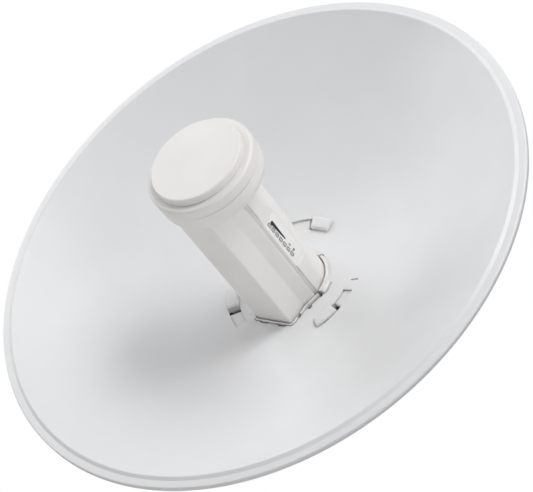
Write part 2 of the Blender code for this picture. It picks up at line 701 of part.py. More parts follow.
def build():
    painted = make_material("white_powder_coat", (0.83, 0.84, 0.86), 0.45)
    plastic = make_material("white_plastic", (0.86, 0.85, 0.83), 0.4)
    housing_white = make_material("housing_plastic", (0.78, 0.78, 0.78), 0.5)
    black = make_material("black_window", (0.02, 0.02, 0.022), 0.25)
    lens = make_material("led_lens", (0.55, 0.58, 0.60), 0.2)
    rubber = make_material("black_rubber", (0.03, 0.03, 0.03), 0.8)
    galvanised = make_material("galvanised_steel", (0.60, 0.62, 0.63), 0.45, 1.0)
    zinc = make_material("zinc_plated_steel", (0.70, 0.70, 0.70), 0.3, 1.0)

    upright = math.radians(90)
    pivot_y = VERTEX_Y - PIVOT_HEIGHT
    pivot = make_empty("elevation_pivot", (0.0, pivot_y, 0.0), turn=upright)
    vertex = make_empty("dish_vertex", (0.0, 0.0, -PIVOT_HEIGHT), parent=pivot)
    fixed_pivot = make_empty("fixed_pivot", (0.0, pivot_y, 0.0))

    make_dish(painted, vertex)
    make_lock_ring(plastic, vertex)
    make_collar(plastic, vertex)
    housing = make_housing(housing_white, vertex)
    make_seated_block(
        "cable_door", (-0.015, -0.0665, -0.034), (0.015, -0.046, -0.0135), housing_white, vertex, housing,
    )
    rod("cable_grommet", (0, -0.0668, -0.0238), (0, -0.0705, -0.0238), 0.0065, rubber, vertex)
    make_seated_block(
        "release_button", (0.050, -0.0065, -0.031), (0.0615, 0.0065, -0.0155), housing_white, vertex, housing,
    )
    make_feed_shell(plastic, vertex)
    make_feed_cover(plastic, vertex)
    make_head(plastic, vertex)
    make_panel(plastic, black, lens, vertex)

    make_alignment_bracket(galvanised, pivot)
    web = HOUSING_BACK - 0.002 - 2 * GAP
    for k, (x, y) in enumerate(screw_places()):
        boolean(housing, rod(f"cut_screw_{k + 1}", (x, y, -0.050), (x, y, -0.0295), 0.0022, parent=vertex))
        make_screw(f"bracket_screw_{k + 1}", (x, y, web), (0, 0, -1), 0.0045, 0.0018, 0.0085, zinc, vertex)

    make_pivot_channel(galvanised, fixed_pivot)
    make_pole_plate(galvanised)
    make_u_bolt(zinc)
    for side, word in ((-1, "left"), (1, "right")):
        place = (side * U_BOLT_HALF, -STEEL - GAP, 0.0)
        make_nut(f"u_bolt_nut_{word}", place, (0, -1, 0), U_BOLT_RADIUS, zinc)
    ear = FIXED_EAR_OUTER + GAP
    for word, height in (("pivot", 0.0), ("lock", SLOT_RADIUS)):
        make_bolt(f"{word}_bolt", (ear, 0, height), (1, 0, 0), 2 * ear + 0.011, zinc, fixed_pivot)
        make_nut(f"{word}_nut", (-ear, 0, height), (-1, 0, 0), BOLT_RADIUS, zinc, fixed_pivot)
    ground = (GROUND_X, -STEEL - GAP, GROUND_Z)
    make_screw("ground_screw", ground, (0, -1, 0), 0.0042, 0.002, 0.007, zinc, None)

    for item in parts.objects:
        smooth(item)


clear_scene()
parts = make_collection("wireless_dish_antenna")
cutters = make_collection("cutters")
build()
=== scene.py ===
import json
import math

import bmesh
import bpy
import numpy as np
from mathutils import Matrix, Vector


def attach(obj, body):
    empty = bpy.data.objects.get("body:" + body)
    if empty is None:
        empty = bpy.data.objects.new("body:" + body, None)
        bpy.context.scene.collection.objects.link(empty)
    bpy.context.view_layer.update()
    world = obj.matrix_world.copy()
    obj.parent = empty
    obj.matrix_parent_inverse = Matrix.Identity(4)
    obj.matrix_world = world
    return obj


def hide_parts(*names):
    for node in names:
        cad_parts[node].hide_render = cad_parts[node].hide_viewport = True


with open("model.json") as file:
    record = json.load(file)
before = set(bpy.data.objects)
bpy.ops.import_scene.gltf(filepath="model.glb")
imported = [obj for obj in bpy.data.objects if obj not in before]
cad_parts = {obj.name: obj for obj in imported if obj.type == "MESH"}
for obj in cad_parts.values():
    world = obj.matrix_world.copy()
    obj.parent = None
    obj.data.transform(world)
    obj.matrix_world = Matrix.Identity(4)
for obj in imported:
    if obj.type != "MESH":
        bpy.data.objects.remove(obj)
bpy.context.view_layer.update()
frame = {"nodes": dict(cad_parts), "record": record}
nodes = frame["nodes"]

vertexY = -0.100       # the dish's vertex in the row frame, the boresight runs along -Y
focalLength = 0.140
scene = bpy.context.scene

# the camera fitted to the photo: its place, its right and up directions, its lens and sensor
cameraLook = {
    "place": (0.8870, -1.1388, -0.5645),
    "right": (0.7818, 0.4595, 0.4215),
    "up": (-0.1094, -0.5645, 0.8182),
    "lens": 135.1,
    "sensor": 36.0,
}

# each light: the direction it stands in from the dish, its distance, width, height, power and colour
lightLook = {
    "key": ((0.458, -0.724, 0.519), 1.9, 0.75, 0.75, 13.9, (1.0, 0.995, 0.985)),
    "second": ((0.10, -0.743, 0.66), 1.9, 1.3, 0.9, 10.6, (0.99, 0.995, 1.0)),
    "left": ((-1.0, -0.45, 0.25), 2.2, 1.8, 1.8, 25.5, (1.0, 1.0, 1.0)),
    "right": ((0.95, -0.25, 0.10), 2.2, 1.8, 1.8, 15.0, (1.0, 1.0, 1.0)),
    "top": ((0.0, -0.25, 1.0), 2.2, 1.8, 1.8, 3.6, (1.0, 1.0, 1.0)),
    "back": ((-0.5, 0.80, 0.55), 2.3, 1.8, 1.8, 12.0, (1.0, 1.0, 1.0)),
}

worldLook = {"seen": 1.0, "ambient": 0.085, "tint": (0.985, 0.99, 1.0)}

floorLook = {"height": -1.05, "half": 6.0, "colour": (0.86, 0.86, 0.86), "roughness": 0.7}


def makeCamera():
    right, up = Vector(cameraLook["right"]).normalized(), Vector(cameraLook["up"])
    back = right.cross(up).normalized()
    up = back.cross(right)
    data = bpy.data.cameras.new("photoCamera")
    data.lens = cameraLook["lens"]
    data.sensor_width = cameraLook["sensor"]
    data.clip_start = 0.05
    data.clip_end = 50.0
    camera = bpy.data.objects.new("photoCamera", data)
    scene.collection.objects.link(camera)
    turn = Matrix((right, up, back)).transposed().to_4x4()
    camera.matrix_world = Matrix.Translation(cameraLook["place"]) @ turn
    scene.camera = camera


def makeLights():
    aim = Vector((0.0, vertexY - 0.06, 0.0))
    for name, (direction, distance, width, height, power, colour) in lightLook.items():
        data = bpy.data.lights.new(name + "Light", "AREA")
        data.shape = "RECTANGLE"
        data.size = width
        data.size_y = height
        data.energy = power
        data.color = colour
        lamp = bpy.data.objects.new(name + "Light", data)
        scene.collection.objects.link(lamp)
        out = Vector(direction).normalized()
        lamp.location = aim + out * distance
        lamp.rotation_mode = "QUATERNION"
        lamp.rotation_quaternion = (-out).to_track_quat("-Z", "Y")


def makeWorld():
    world = bpy.data.worlds.new("studio")
    scene.world = world
    world.use_nodes = True
    tree = world.node_tree
    tree.nodes.clear()
    out = tree.nodes.new("ShaderNodeOutputWorld")
    mix = tree.nodes.new("ShaderNodeMixShader")
    path = tree.nodes.new("ShaderNodeLightPath")
    ambient = tree.nodes.new("ShaderNodeBackground")
    seen = tree.nodes.new("ShaderNodeBackground")
    ambient.inputs["Color"].default_value = (*worldLook["tint"], 1.0)
    ambient.inputs["Strength"].default_value = worldLook["ambient"]
    seen.inputs["Color"].default_value = (1.0, 1.0, 1.0, 1.0)
    seen.inputs["Strength"].default_value = worldLook["seen"]
    tree.links.new(path.outputs["Is Camera Ray"], mix.inputs["Fac"])
    tree.links.new(ambient.outputs[0], mix.inputs[1])
    tree.links.new(seen.outputs[0], mix.inputs[2])
    tree.links.new(mix.outputs[0], out.inputs["Surface"])
    scene.view_settings.view_transform = "Standard"
    scene.view_settings.look = "None"


makeCamera()
makeLights()
makeWorld()
print("camera, lights and world are set")


# an empty shader node group with named number inputs and outputs
def newGroup(name, ins, outs):
    group = bpy.data.node_groups.new(name, "ShaderNodeTree")
    for label, value in ins:
        socket = group.interface.new_socket(label, in_out="INPUT", socket_type="NodeSocketFloat")
        socket.default_value = value
    for label in outs:
        group.interface.new_socket(label, in_out="OUTPUT", socket_type="NodeSocketFloat")
    start = group.nodes.new("NodeGroupInput")
    end = group.nodes.new("NodeGroupOutput")
    return group, start, end


def noiseNode(tree, detail, roughness=0.5):
    node = tree.nodes.new("ShaderNodeTexNoise")
    node.inputs["Detail"].default_value = detail
    node.inputs["Roughness"].default_value = roughness
    return node


def mathNode(tree, operation, second=None):
    node = tree.nodes.new("ShaderNodeMath")
    node.operation = operation
    if second is not None:
        node.inputs[1].default_value = second
    return node


def rangeNode(tree, fromLow, fromHigh, toLow, toHigh):
    node = tree.nodes.new("ShaderNodeMapRange")
    for label, value in zip(("From Min", "From Max", "To Min", "To Max"), (fromLow, fromHigh, toLow, toHigh)):
        node.inputs[label].default_value = value
    return node


# fine surface grain: Height is fine noise, Cloud is a broad slow one, both over Object coordinates
def makeGrainGroup():
    group, start, end = newGroup("surfaceGrain", [("Scale", 900.0), ("Cloud Scale", 14.0)], ["Height", "Cloud"])
    place = group.nodes.new("ShaderNodeTexCoord")
    fine = noiseNode(group, 2.0)
    finer = noiseNode(group, 1.0)
    double = mathNode(group, "MULTIPLY", 2.7)
    total = mathNode(group, "MULTIPLY_ADD", 0.4)
    cloud = noiseNode(group, 3.0, 0.55)
    link = group.links.new
    link(place.outputs["Object"], fine.inputs["Vector"])
    link(place.outputs["Object"], finer.inputs["Vector"])
    link(place.outputs["Object"], cloud.inputs["Vector"])
    link(start.outputs["Scale"], fine.inputs["Scale"])
    link(start.outputs["Scale"], double.inputs[0])
    link(double.outputs[0], finer.inputs["Scale"])
    link(start.outputs["Cloud Scale"], cloud.inputs["Scale"])
    link(finer.outputs["Fac"], total.inputs[0])
    link(fine.outputs["Fac"], total.inputs[2])
    link(total.outputs[0], end.inputs["Height"])
    link(cloud.outputs["Fac"], end.inputs["Cloud"])
    return group


# edges lightened, partly worn and partly painted highlight: the mesh's own pointedness over a threshold, broken up by
# noise
def makeWearAndHighlightGroup():
    group, start, end = newGroup("edgeWearAndHighlight", [("Amount", 0.5), ("Scale", 260.0)], ["Mask"])
    shape = group.nodes.new("ShaderNodeNewGeometry")
    place = group.nodes.new("ShaderNodeTexCoord")
    noise = noiseNode(group, 4.0, 0.65)
    edge = rangeNode(group, 0.52, 0.60, 0.0, 1.0)
    broken = rangeNode(group, 0.38, 0.62, 0.0, 1.0)
    both = mathNode(group, "MULTIPLY")
    scaled = mathNode(group, "MULTIPLY")
    link = group.links.new
    link(place.outputs["Object"], noise.inputs["Vector"])
    link(start.outputs["Scale"], noise.inputs["Scale"])
    link(shape.outputs["Pointiness"], edge.inputs["Value"])
    link(noise.outputs["Fac"], broken.inputs["Value"])
    link(edge.outputs[0], both.inputs[0])
    link(broken.outputs[0], both.inputs[1])
    link(both.outputs[0], scaled.inputs[0])
    link(start.outputs["Amount"], scaled.inputs[1])
    link(scaled.outputs[0], end.inputs["Mask"])
    return group


# corners darkened, partly dust and partly painted shade: one minus ambient occlusion, broken up by noise
def makeDustAndShadeGroup():
    group, start, end = newGroup("cornerDustAndShade", [("Amount", 0.5), ("Reach", 0.006)], ["Mask"])
    place = group.nodes.new("ShaderNodeTexCoord")
    hollow = group.nodes.new("ShaderNodeAmbientOcclusion")
    hollow.samples = 6
    noise = noiseNode(group, 3.0, 0.6)
    noise.inputs["Scale"].default_value = 90.0
    deep = rangeNode(group, 0.35, 0.95, 1.0, 0.0)
    broken = rangeNode(group, 0.25, 0.75, 0.35, 1.0)
    both = mathNode(group, "MULTIPLY")
    scaled = mathNode(group, "MULTIPLY")
    link = group.links.new
    link(place.outputs["Object"], noise.inputs["Vector"])
    link(start.outputs["Reach"], hollow.inputs["Distance"])
    link(hollow.outputs["AO"], deep.inputs["Value"])
    link(noise.outputs["Fac"], broken.inputs["Value"])
    link(deep.outputs[0], both.inputs[0])
    link(broken.outputs[0], both.inputs[1])
    link(both.outputs[0], scaled.inputs[0])
    link(start.outputs["Amount"], scaled.inputs[1])
    link(scaled.outputs[0], end.inputs["Mask"])
    return group


# zinc crystals: Tone is one random value for each Voronoi cell, Height a shallow step at the cell's border
def makeSpangleGroup():
    group, start, end = newGroup("zincSpangle", [("Scale", 170.0)], ["Tone", "Height"])
    place = group.nodes.new("ShaderNodeTexCoord")
    bend = noiseNode(group, 2.0)
    bend.inputs["Scale"].default_value = 120.0
    add = group.nodes.new("ShaderNodeVectorMath")
    add.operation = "MULTIPLY_ADD"
    add.inputs[1].default_value = (0.004, 0.004, 0.004)
    cells = group.nodes.new("ShaderNodeTexVoronoi")
    border = group.nodes.new("ShaderNodeTexVoronoi")
    border.feature = "DISTANCE_TO_EDGE"
    apart = group.nodes.new("ShaderNodeSeparateColor")
    step = rangeNode(group, 0.0, 0.08, 0.0, 1.0)
    link = group.links.new
    link(place.outputs["Object"], bend.inputs["Vector"])
    link(bend.outputs["Color"], add.inputs[0])
    link(place.outputs["Object"], add.inputs[2])
    for texture in (cells, border):
        link(add.outputs[0], texture.inputs["Vector"])
        link(start.outputs["Scale"], texture.inputs["Scale"])
    link(cells.outputs["Color"], apart.inputs[0])
    link(border.outputs["Distance"], step.inputs["Value"])
    link(apart.outputs[0], end.inputs["Tone"])
    link(step.outputs[0], end.inputs["Height"])
    return group


grainGroup = makeGrainGroup()
wearAndHighlightGroup = makeWearAndHighlightGroup()
dustAndShadeGroup = makeDustAndShadeGroup()
spangleGroup = makeSpangleGroup()

# colour and shade: the base colour and the one its clouds lean to; wear with painted edge highlight, dust with
# painted corner shade: colours and amounts
finishes = {
    "powderCoat": {
        "colour": (0.800, 0.805, 0.815), "shade": (0.765, 0.770, 0.785), "cloudScale": 9.0,
        "roughness": (0.36, 0.46), "grain": 700.0, "depth": 0.05, "distance": 0.0004,
        "wearAndHighlight": 0.10, "wearAndHighlightColour": (0.87, 0.87, 0.88), "dustAndShade": 0.35, "dustAndShadeColour": (0.62, 0.60, 0.57),
    },
    "feedPlastic": {
        "colour": (0.845, 0.830, 0.810), "shade": (0.815, 0.800, 0.782), "cloudScale": 22.0,
        "roughness": (0.34, 0.44), "grain": 1500.0, "depth": 0.05, "distance": 0.0002,
        "wearAndHighlight": 0.12, "wearAndHighlightColour": (0.92, 0.91, 0.90), "dustAndShade": 0.40, "dustAndShadeColour": (0.55, 0.52, 0.49),
    },
    "ringPlastic": {
        "colour": (0.805, 0.805, 0.812), "shade": (0.780, 0.782, 0.792), "cloudScale": 25.0,
        "roughness": (0.38, 0.48), "grain": 1500.0, "depth": 0.05, "distance": 0.0002,
        "wearAndHighlight": 0.12, "wearAndHighlightColour": (0.88, 0.88, 0.88), "dustAndShade": 0.35, "dustAndShadeColour": (0.58, 0.56, 0.54),
    },
    "labelFilm": {
        "colour": (0.915, 0.910, 0.905), "shade": (0.890, 0.885, 0.880), "cloudScale": 40.0,
        "roughness": (0.28, 0.36), "grain": 2400.0, "depth": 0.02, "distance": 0.0001,
        "wearAndHighlight": 0.05, "wearAndHighlightColour": (0.95, 0.95, 0.95), "dustAndShade": 0.30, "dustAndShadeColour": (0.60, 0.58, 0.55),
    },
    "housingPlastic": {
        "colour": (0.66, 0.665, 0.67), "shade": (0.60, 0.605, 0.615), "cloudScale": 30.0,
        "roughness": (0.45, 0.58), "grain": 1100.0, "depth": 0.25, "distance": 0.0003,
        "wearAndHighlight": 0.25, "wearAndHighlightColour": (0.80, 0.80, 0.80), "dustAndShade": 0.55, "dustAndShadeColour": (0.46, 0.43, 0.39),
    },
    "darkWindow": {
        "colour": (0.012, 0.012, 0.014), "shade": (0.020, 0.020, 0.023), "cloudScale": 80.0,
        "roughness": (0.14, 0.24), "grain": 2200.0, "depth": 0.02, "distance": 0.0001,
        "wearAndHighlight": 0.0, "wearAndHighlightColour": (0.1, 0.1, 0.1), "dustAndShade": 0.15, "dustAndShadeColour": (0.20, 0.19, 0.18),
    },
    "lampLens": {
        "colour": (0.640, 0.630, 0.630), "shade": (0.580, 0.572, 0.575), "cloudScale": 90.0,
        "roughness": (0.16, 0.26), "grain": 2200.0, "depth": 0.02, "distance": 0.0001,
        "wearAndHighlight": 0.0, "wearAndHighlightColour": (0.6, 0.6, 0.6), "dustAndShade": 0.25, "dustAndShadeColour": (0.30, 0.28, 0.27),
    },
    "lampFrame": {
        "colour": (0.300, 0.290, 0.292), "shade": (0.255, 0.248, 0.252), "cloudScale": 90.0,
        "roughness": (0.30, 0.42), "grain": 2200.0, "depth": 0.03, "distance": 0.0001,
        "wearAndHighlight": 0.0, "wearAndHighlightColour": (0.4, 0.4, 0.4), "dustAndShade": 0.2, "dustAndShadeColour": (0.25, 0.24, 0.23),
    },
    "sealRubber": {
        "colour": (0.026, 0.026, 0.027), "shade": (0.040, 0.039, 0.038), "cloudScale": 60.0,
        "roughness": (0.62, 0.80), "grain": 1300.0, "depth": 0.35, "distance": 0.0003,
        "wearAndHighlight": 0.35, "wearAndHighlightColour": (0.09, 0.088, 0.085), "dustAndShade": 0.70, "dustAndShadeColour": (0.16, 0.14, 0.12),
    },
}

metals = {
    "galvanised": {
        "low": (0.44, 0.455, 0.47), "high": (0.66, 0.675, 0.69), "roughness": (0.34, 0.56),
        "spangle": 150.0, "grain": 900.0, "depth": 0.12, "distance": 0.0004,
        "wearAndHighlight": 0.35, "wearAndHighlightColour": (0.80, 0.81, 0.82), "dustAndShade": 0.75, "dustAndShadeColour": (0.30, 0.28, 0.25),
    },
    "zincPlated": {
        "low": (0.62, 0.61, 0.575), "high": (0.74, 0.735, 0.70), "roughness": (0.22, 0.38),
        "spangle": 420.0, "grain": 1800.0, "depth": 0.06, "distance": 0.0002,
        "wearAndHighlight": 0.5, "wearAndHighlightColour": (0.86, 0.85, 0.83), "dustAndShade": 0.7, "dustAndShadeColour": (0.26, 0.23, 0.19),
    },
}


def mixColour(tree, factor, first, second):
    node = tree.nodes.new("ShaderNodeMix")
    node.data_type = "RGBA"
    tree.links.new(factor, node.inputs["Factor"])
    for socket, value in ((node.inputs["A"], first), (node.inputs["B"], second)):
        if isinstance(value, tuple):
            socket.default_value = (*value, 1.0)
        else:
            tree.links.new(value, socket)
    return node.outputs["Result"]


def groupNode(tree, group, **values):
    node = tree.nodes.new("ShaderNodeGroup")
    node.node_tree = group
    for label, value in values.items():
        node.inputs[label.replace("_", " ")].default_value = value
    return node


# base colour between two tones by a mask, then edges lightened as wear and painted highlight and corners darkened as
# dust and painted shade over it, a bump from the grain
def makeFinish(name, look, metallic=0.0):
    material = bpy.data.materials.new(name)
    material.use_nodes = True
    tree = material.node_tree
    shader = tree.nodes["Principled BSDF"]
    shader.inputs["Metallic"].default_value = metallic
    link = tree.links.new
    grain = groupNode(tree, grainGroup, Scale=look["grain"], Cloud_Scale=look.get("cloudScale", 25.0))
    wearAndHighlight = groupNode(tree, wearAndHighlightGroup, Amount=look["wearAndHighlight"])
    dustAndShade = groupNode(tree, dustAndShadeGroup, Amount=look["dustAndShade"])
    height = grain.outputs["Height"]
    if metallic:
        spangle = groupNode(tree, spangleGroup, Scale=look["spangle"])
        mask = spangle.outputs["Tone"]
        base = mixColour(tree, mask, look["low"], look["high"])
    else:
        spread = rangeNode(tree, 0.35, 0.65, 0.0, 1.0)
        link(grain.outputs["Cloud"], spread.inputs["Value"])
        mask = spread.outputs[0]
        base = mixColour(tree, mask, look["colour"], look["shade"])
    # painted highlight along the edges, partly wear: edges lightened by their pointedness
    wornAndHighlighted = mixColour(tree, wearAndHighlight.outputs["Mask"], base, look["wearAndHighlightColour"])
    # painted shade in hollows, tinted as dust: colour darkened where the surface is occluded
    dustyAndShaded = mixColour(tree, dustAndShade.outputs["Mask"], wornAndHighlighted, look["dustAndShadeColour"])
    link(dustyAndShaded, shader.inputs["Base Color"])
    rough = rangeNode(tree, 0.0, 1.0, *look["roughness"])
    rougher = mathNode(tree, "MULTIPLY_ADD", 0.35)
    link(mask, rough.inputs["Value"])
    link(dustAndShade.outputs["Mask"], rougher.inputs[0])
    link(rough.outputs[0], rougher.inputs[2])
    link(rougher.outputs[0], shader.inputs["Roughness"])
    bump = tree.nodes.new("ShaderNodeBump")
    bump.inputs["Strength"].default_value = look["depth"]
    bump.inputs["Distance"].default_value = look["distance"]
    link(height, bump.inputs["Height"])
    link(bump.outputs["Normal"], shader.inputs["Normal"])
    return material


materials = {name: makeFinish(name, look) for name, look in finishes.items()}
materials.update({name: makeFinish(name, look, 1.0) for name, look in metals.items()})
slotOf = {
    "powderCoat": "dish_paint", "feedPlastic": "feed_plastic", "housingPlastic": "housing_plastic",
    "darkWindow": "window_black", "lampLens": "lens_smoke", "sealRubber": "seal_rubber",
    "galvanised": "galvanised", "zincPlated": "zinc_plated",
}
finishOf = {record: finish for finish, record in slotOf.items()}
slotOf.update({"lampFrame": "lens_smoke", "ringPlastic": "feed_plastic", "labelFilm": "feed_plastic"})
for part in frame["record"]["subparts"]:
    surface = nodes[part["node"]].data
    surface.materials.clear()
    surface.materials.append(materials[finishOf[part["material_slot"]]])
print("materials are made")


# joins a grid of points into quads, as index arithmetic on whole arrays; a wrapped direction meets its start
def gridFaces(rows, columns, wrapRows, wrapColumns):
    i, j = np.meshgrid(
        np.arange(rows if wrapRows else rows - 1), np.arange(columns if wrapColumns else columns - 1),
        indexing="ij",
    )
    nextI, nextJ = (i + 1) % rows, (j + 1) % columns
    corners = (i * columns + j, nextI * columns + j, nextI * columns + nextJ, i * columns + nextJ)
    return np.stack(corners, axis=-1).reshape(-1, 4)


# one mesh from grids of (points, wrapRows, wrapColumns[, kept quads or None[, finish of its own]])
def makePiece(name, grids, finish, body, replaced=(), smoothAngle=32.0):
    corners, faces, paints, start = [], [], [], 0
    names = [finish]
    for points, wrapRows, wrapColumns, *rest in grids:
        kept = rest[0] if rest else None
        paint = rest[1] if len(rest) > 1 else finish
        if paint not in names:
            names.append(paint)
        rows, columns = points.shape[:2]
        quads = gridFaces(rows, columns, wrapRows, wrapColumns)
        if kept is not None:
            quads = quads[kept.reshape(-1)]
        corners.append(points.reshape(-1, 3))
        faces.append(quads + start)
        paints.append(np.full(len(quads), names.index(paint)))
        start += rows * columns
    mesh = bpy.data.meshes.new(name)
    mesh.from_pydata(np.concatenate(corners), [], np.concatenate(faces).tolist())
    mesh.polygons.foreach_set("material_index", np.concatenate(paints).astype(np.int32))
    shape = bmesh.new()
    shape.from_mesh(mesh)
    bmesh.ops.remove_doubles(shape, verts=shape.verts, dist=0.000002)
    bmesh.ops.dissolve_degenerate(shape, edges=shape.edges, dist=0.0000005)
    loose = [v for v in shape.verts if not v.link_faces]
    bmesh.ops.delete(shape, geom=loose, context="VERTS")
    bmesh.ops.recalc_face_normals(shape, faces=shape.faces)
    shape.to_mesh(mesh)
    shape.free()
    mesh.shade_smooth()
    mesh.set_sharp_from_angle(angle=math.radians(smoothAngle))
    for paint in names:
        mesh.materials.append(materials[paint])
    piece = bpy.data.objects.new(name, mesh)
    scene.collection.objects.link(piece)
    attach(piece, body)
    if replaced:
        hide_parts(*replaced)
    return piece


# right, up and height over the vertex become row coordinates: y is the vertex's y less the height
def toRow(x, z, height):
    return np.stack(np.broadcast_arrays(x, vertexY - height, z), axis=-1)


# height of the dish's front over its vertex: radius squared over four focal lengths
def bowl(radius):
    return radius * radius / (4 * focalLength)


# straight runs between breakpoints, each cut into equal steps no longer than the step
def stations(breaks, step):
    breaks = sorted(set(breaks))
    runs = [
        np.linspace(a, b, max(1, math.ceil((b - a) / step)), endpoint=False)
        for a, b in zip(breaks, breaks[1:])
    ]
    return np.concatenate([*runs, [breaks[-1]]])


# an open path with each inner corner replaced by an arc: centre plus radius times the turning normal
def filletPath(points, radii, steps=5):
    points = [np.array(p, float) for p in points]
    result = [points[0][None]]
    for i in range(1, len(points) - 1):
        into = points[i] - points[i - 1]
        out = points[i + 1] - points[i]
        into, out = into / np.linalg.norm(into), out / np.linalg.norm(out)
        turn = math.atan2(into[0] * out[1] - into[1] * out[0], float(into @ out))
        if not radii[i] or abs(turn) < 0.001:
            result.append(points[i][None])
            continue
        reach = radii[i] * math.tan(abs(turn) / 2)
        side = np.array((-into[1], into[0])) * math.copysign(1.0, turn)
        centre = points[i] - into * reach + side * radii[i]
        angles = np.linspace(0.0, turn, steps + 1)
        cosine, sine = np.cos(angles)[:, None], np.sin(angles)[:, None]
        spoke = -side * radii[i]
        crossed = np.array((-spoke[1], spoke[0]))
        result.append(centre + spoke * cosine + crossed * sine)
    result.append(points[-1][None])
    return np.concatenate(result)


# corners rounded by arcs: each arc's centre lies on both offset sides, its spokes turn from one side's normal
# to the next; a radius of 0 gives a fan of normals on the corner itself
def filletCorners(corners, into, out, radii, steps=5):
    corners, into, out = (np.asarray(v, float) for v in (corners, into, out))
    radii = np.asarray(radii, float)
    turn = np.arctan2(into[:, 0] * out[:, 1] - into[:, 1] * out[:, 0], (into * out).sum(axis=1))
    sign = np.where(turn < 0, -1.0, 1.0)
    first = np.stack([into[:, 1], -into[:, 0]], axis=1)
    crossed = np.stack([-first[:, 1], first[:, 0]], axis=1)
    reach = radii * np.tan(np.abs(turn) / 2)
    centre = corners - into * reach[:, None] - first * (radii * sign)[:, None]
    angles = turn[:, None] * np.linspace(0.0, 1.0, steps + 1)
    normal = first[:, None] * np.cos(angles)[..., None] + crossed[:, None] * np.sin(angles)[..., None]
    spots = centre[:, None] + normal * (radii * sign)[:, None, None]
    return spots.reshape(-1, 2), normal.reshape(-1, 2)


# a closed anticlockwise outline with rounded corners, as points and their outward normals
def filletLoop(points, radii, steps=5):
    points = np.asarray(points, float)
    into = points - np.roll(points, 1, axis=0)
    into /= np.linalg.norm(into, axis=1, keepdims=True)
    return filletCorners(points, into, np.roll(into, -1, axis=0), radii, steps)


# a rectangle from its low to its high corner, with equal round corners
def roundedBox(low, high, radius, steps=5):
    return filletLoop([low, (high[0], low[1]), high, (low[0], high[1])], [radius] * 4, steps)


# more points along a closed outline, so that what is worked out point by point stays straight
def denseLoop(spots, normals, step=0.0008):
    away = np.roll(spots, -1, axis=0) - spots
    counts = np.maximum(1, np.ceil(np.linalg.norm(away, axis=1) / step)).astype(int)
    index = np.repeat(np.arange(len(spots)), counts)
    first = np.repeat(np.cumsum(counts) - counts, counts)
    part = ((np.arange(len(index)) - first) / counts[index])[:, None]
    turned = normals + 0.0
    between = turned[index] * (1 - part) + np.roll(turned, -1, axis=0)[index] * part
    return spots[index] + away[index] * part, between / np.linalg.norm(between, axis=1, keepdims=True)


# a profile of (radius, height) turned about the boresight: (r sin t, r cos t) at each angle t
def turnedGrid(profile, steps=192):
    profile = np.asarray(profile, float)
    angles = np.linspace(0.0, 2 * math.pi, steps, endpoint=False)[None, :]
    radius, height = profile[:, 0][:, None], profile[:, 1][:, None]
    return toRow(radius * np.sin(angles), radius * np.cos(angles), height + 0 * angles)


# a solid between levels of (inset, height): each level is the outline moved inwards along its normals
def levelGrid(spots, normals, levels, place, centre=None):
    levels = np.asarray(levels, float)
    flat = spots[None] - normals[None] * levels[:, 0][:, None, None]
    rise = np.broadcast_to(levels[:, 1][:, None], flat.shape[:2])
    middle = np.broadcast_to(spots.mean(0) if centre is None else np.array(centre), flat[:1].shape)
    flat = np.concatenate([middle, flat, middle])
    rise = np.concatenate([rise[:1], rise, rise[-1:]])
    return place(flat[..., 0], flat[..., 1], rise)


# quarter circle from the side of a solid up over its edge, as (inset, height) levels
def edgeLevels(height, radius, steps=4, downwards=False):
    angles = np.linspace(0.0, math.pi / 2, steps + 1)
    inset = radius * (1 - np.cos(angles))
    drop = radius * (1 - np.sin(angles))
    if downwards:
        return np.stack([inset, height + drop], axis=1)[::-1]
    return np.stack([inset, height - drop], axis=1)


dishLook = {
    "radius": 0.210, "crest": 0.2013, "flange": 0.0709, "wall": 0.0035, "sheet": 0.0012,
    "slotInner": 0.0455, "slotOuter": 0.0547, "slotStart": -29.0, "slotEnd": 6.0,
    "slitAngle": 81.5, "slitInner": 0.0492, "slitOuter": 0.0559, "slitWidth": 0.0012,
    "angleStep": 1.2, "radiusStep": 0.004,
}

feedLook = {
    "radius": 0.025, "foot": -0.028, "top": 0.1195, "stepLine": -0.0063,
    "hubArc": math.hypot(0.0249, 0.0066), "skirt": 0.1257,
    "hubCorners": [
        (-0.0249, -0.0066), (-0.019, -0.019), (-0.016, -0.035),
        (0.016, -0.035), (0.019, -0.019), (0.0249, -0.0066),
    ],
    "grooveLip": (0.02465, -0.0094), "grooveFoot": (0.0214, -0.0088), "grooveTop": (0.0242, -0.0059), "grooveEnd": 0.1135,
    "flat": 0.02465,
}

# how far the dish's hole stands off the feed's outline, as (degrees from the right, distance); it repeats mirrored
holeSpread = [
    (-90, 0.0026), (-82.5, 0.0026), (-82, 0.0034), (-72, 0.0034), (-71.5, 0.0026), (-52, 0.0027), (-44.4, 0.0032),
    (-43.9, 0.0053), (-36.6, 0.0053), (-36.1, 0.0033), (-17, 0.0033), (-16.5, 0.0045), (-10.7, 0.0045),
    (-10.4, 0.0062), (8.6, 0.0062), (8.9, 0.0024), (61.5, 0.0024), (61.9, 0.0034), (68.0, 0.0034), (68.4, 0.0024),
    (90, 0.0024),
]


